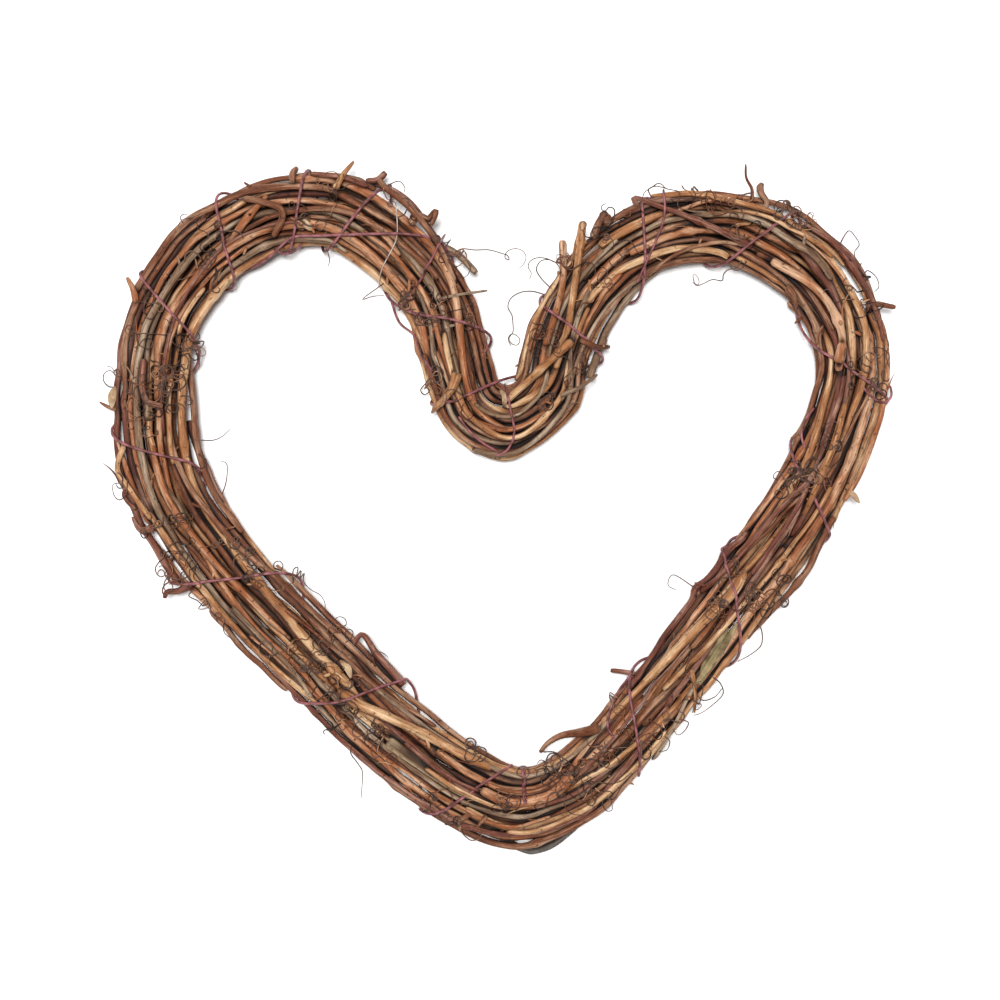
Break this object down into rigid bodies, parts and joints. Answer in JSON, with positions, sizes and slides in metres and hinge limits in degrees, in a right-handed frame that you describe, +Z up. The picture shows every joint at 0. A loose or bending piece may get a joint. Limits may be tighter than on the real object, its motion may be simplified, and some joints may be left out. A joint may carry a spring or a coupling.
{
  "type": "heart-shaped vine wreath",
  "caption": "Heart-shaped wreath of dried vine stems wound into a loose bundle and bound with thin coated wire, lying flat",
  "frame": {"origin": "middle of the underside of the wreath lying flat", "axes": "+X across the heart to the right, +Y from the tip towards the lobes, +Z up out of the front of the wreath"},
  "size_m": [0.2986, 0.2594, 0.0249],
  "materials": {
    "vine_bark": "dry brown bark, matt",
    "grey_bark": "weathered grey-brown bark, matt",
    "grey_cane": "rough grey cane, matt",
    "split_wood": "pale split wood, matt",
    "dried_leaf": "dry papery leaf, matt",
    "coated_wire": "reddish-brown paper-and-plastic coated wire",
    "pale_thread": "pale thin thread"
  },
  "bodies": {
    "root": {"vine_stem_01": "vine_bark", "vine_stem_02": "vine_bark", "vine_stem_03": "vine_bark", "vine_stem_04": "vine_bark", "vine_stem_05": "vine_bark", "vine_stem_06": "vine_bark", "vine_stem_07": "vine_bark", "vine_stem_08": "vine_bark", "vine_stem_09": "vine_bark", "vine_stem_10": "vine_bark", "vine_stem_11": "vine_bark", "vine_stem_12": "vine_bark", "vine_stem_13": "vine_bark", "vine_stem_14": "vine_bark", "vine_stem_15": "vine_bark", "vine_stem_16": "vine_bark", "vine_stem_17": "vine_bark", "vine_stem_18": "vine_bark", "vine_stem_19": "vine_bark", "vine_stem_20": "vine_bark", "vine_stem_21": "vine_bark", "red_runner": "vine_bark", "pale_branch": "vine_bark", "crossing_stem": "vine_bark", "inner_grey_stem": "grey_bark", "diagonal_stick": "vine_bark", "left_outrider": "vine_bark", "right_outrider": "vine_bark", "window_outrider": "vine_bark", "tan_crosspiece": "vine_bark", "forked_twig": "vine_bark", "grey_cane": "grey_cane", "split_stem": "split_wood", "dried_leaf_blade": "dried_leaf", "binding_wire": "coated_wire", "long_wrap_wire": "coated_wire", "pale_thread": "pale_thread"}
  },
  "joints": []
}
